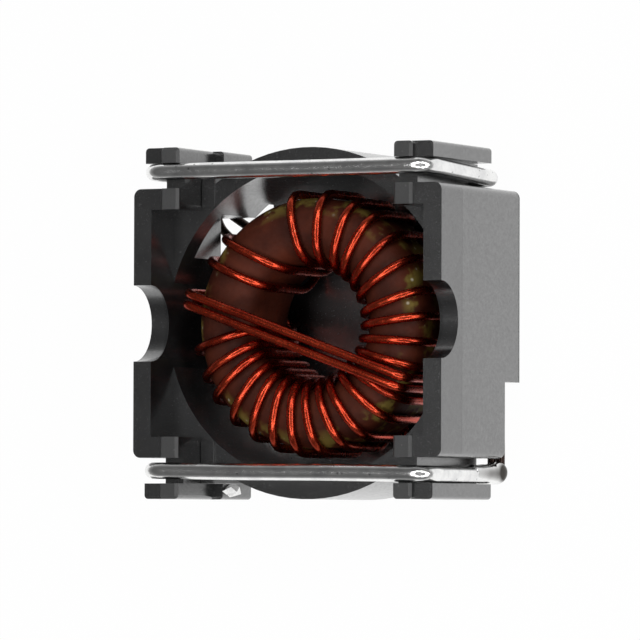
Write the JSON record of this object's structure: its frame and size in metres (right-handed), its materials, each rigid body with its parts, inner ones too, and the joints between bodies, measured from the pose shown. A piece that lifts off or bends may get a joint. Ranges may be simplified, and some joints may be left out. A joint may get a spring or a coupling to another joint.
{
  "type": "toroidal inductor",
  "caption": "Surface-mount toroidal inductor: a ring core wound with enamelled copper wire, set in an open black plastic carrier with hooked round-wire terminals.",
  "frame": {"origin": "centre of the carrier's outline, on the plane of its closed back", "axes": "+Z out of the open face, +Y from the lower terminal to the upper one, +X along the terminals"},
  "size_m": [0.013, 0.0134, 0.0071],
  "materials": {
    "carrier_plastic": "satin moulded black plastic",
    "core_paint": "dark painted iron powder",
    "enamelled_copper": "copper under dark red enamel",
    "tinned_wire": "tinned copper",
    "solder": "bright solder"
  },
  "bodies": {
    "root": {"carrier": "carrier_plastic", "core": "core_paint", "winding_strand_1": "enamelled_copper", "winding_strand_2": "enamelled_copper", "upper_terminal": "tinned_wire", "lower_terminal": "tinned_wire", "upper_solder_joint": "solder", "lower_solder_joint": "solder"}
  },
  "joints": []
}
